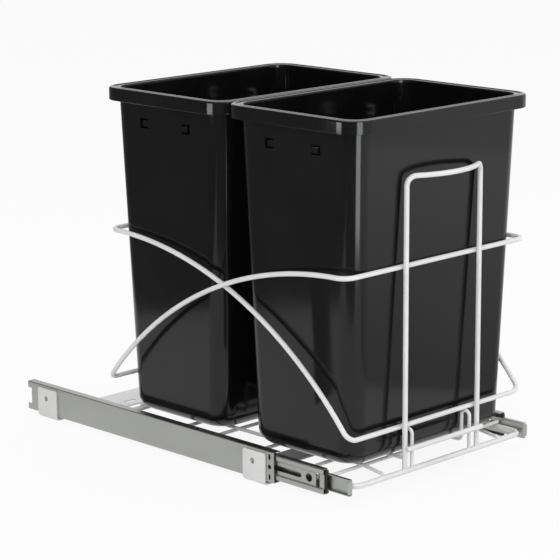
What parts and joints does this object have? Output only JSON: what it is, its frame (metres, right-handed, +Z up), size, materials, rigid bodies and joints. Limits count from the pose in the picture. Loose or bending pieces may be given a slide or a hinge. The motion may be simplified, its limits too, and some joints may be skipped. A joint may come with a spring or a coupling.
{
  "type": "pull-out waste bin unit",
  "caption": "Pull-out waste unit: open-topped bins with rims in a wire carriage with a handle and guard loops, on ball-bearing slides held by floor brackets.",
  "frame": {"origin": "middle of the front floor bracket's underside, on the cabinet floor", "axes": "+X to the right seen from the front, +Y back into the cabinet, +Z up; the unit pulls out along -Y"},
  "size_m": [0.37, 0.655, 0.4902],
  "materials": {
    "zinc_steel": "satin zinc-plated steel",
    "ball_steel": "greased steel",
    "white_bracket": "satin white coat",
    "white_wire": "satin white coat",
    "bin_plastic": "glossy black",
    "stop_plastic": "matte black",
    "stop_rubber": "matte black"
  },
  "bodies": {
    "base": {"left_outer_rail": "zinc_steel", "right_outer_rail": "zinc_steel", "front_floor_bracket": "white_bracket", "rear_floor_bracket": "white_bracket", "left_front_rivet": "zinc_steel", "right_front_rivet": "zinc_steel", "left_rear_rivet": "zinc_steel", "right_rear_rivet": "zinc_steel", "left_rear_bumper": "stop_rubber", "right_rear_bumper": "stop_rubber"},
    "left_middle": {"left_middle_rail": "zinc_steel", "left_middle_bumper": "stop_plastic"},
    "right_middle": {"right_middle_rail": "zinc_steel", "right_middle_bumper": "stop_plastic"},
    "left_outer_cage": {"left_outer_ball_cage": "ball_steel"},
    "right_outer_cage": {"right_outer_ball_cage": "ball_steel"},
    "left_inner_cage": {"left_inner_ball_cage": "ball_steel"},
    "right_inner_cage": {"right_inner_ball_cage": "ball_steel"},
    "carriage": {"left_inner_rail": "zinc_steel", "right_inner_rail": "zinc_steel", "base_wire": "white_wire", "cross_wire_1": "white_wire", "cross_wire_2": "white_wire", "cross_wire_3": "white_wire", "cross_wire_4": "white_wire", "cross_wire_5": "white_wire", "cross_wire_6": "white_wire", "left_side_wire": "white_wire", "right_side_wire": "white_wire", "left_guide_wire": "white_wire", "right_guide_wire": "white_wire", "front_high_loop": "white_wire", "rear_high_loop": "white_wire", "pull_handle": "white_wire", "handle_brace_wire": "white_wire", "left_rear_upright": "white_wire", "right_rear_upright": "white_wire"},
    "front_bin": {"front_bin": "bin_plastic"},
    "rear_bin": {"rear_bin": "bin_plastic"}
  },
  "joints": [
    {"name": "left_middle_slide", "type": "slide", "parent": "base", "child": "left_middle", "axis": [0, -1, 0], "range_m": [-0.086, 0.165]},
    {"name": "right_middle_slide", "type": "slide", "parent": "base", "child": "right_middle", "axis": [0, -1, 0], "range_m": [-0.086, 0.165]},
    {"name": "left_outer_cage_slide", "type": "slide", "parent": "base", "child": "left_outer_cage", "axis": [0, -1, 0], "range_m": [-0.043, 0.0825]},
    {"name": "right_outer_cage_slide", "type": "slide", "parent": "base", "child": "right_outer_cage", "axis": [0, -1, 0], "range_m": [-0.043, 0.0825]},
    {"name": "carriage_slide", "type": "slide", "parent": "left_middle", "child": "carriage", "axis": [0, -1, 0], "range_m": [-0.036, 0.21]},
    {"name": "left_inner_cage_slide", "type": "slide", "parent": "left_middle", "child": "left_inner_cage", "axis": [0, -1, 0], "range_m": [-0.018, 0.105]},
    {"name": "right_inner_cage_slide", "type": "slide", "parent": "right_middle", "child": "right_inner_cage", "axis": [0, -1, 0], "range_m": [-0.018, 0.105]},
    {"name": "front_bin_lift", "type": "slide", "parent": "carriage", "child": "front_bin", "axis": [0, 0, 1], "range_m": [0, 0.4]},
    {"name": "rear_bin_lift", "type": "slide", "parent": "carriage", "child": "rear_bin", "axis": [0, 0, 1], "range_m": [0, 0.4]}
  ],
  "couplings": [
    {"joint": "right_middle_slide", "follows": "left_middle_slide", "ratio": 1},
    {"joint": "left_outer_cage_slide", "follows": "left_middle_slide", "ratio": 0.5},
    {"joint": "right_outer_cage_slide", "follows": "left_middle_slide", "ratio": 0.5},
    {"joint": "left_inner_cage_slide", "follows": "carriage_slide", "ratio": 0.5},
    {"joint": "right_inner_cage_slide", "follows": "carriage_slide", "ratio": 0.5}
  ]
}
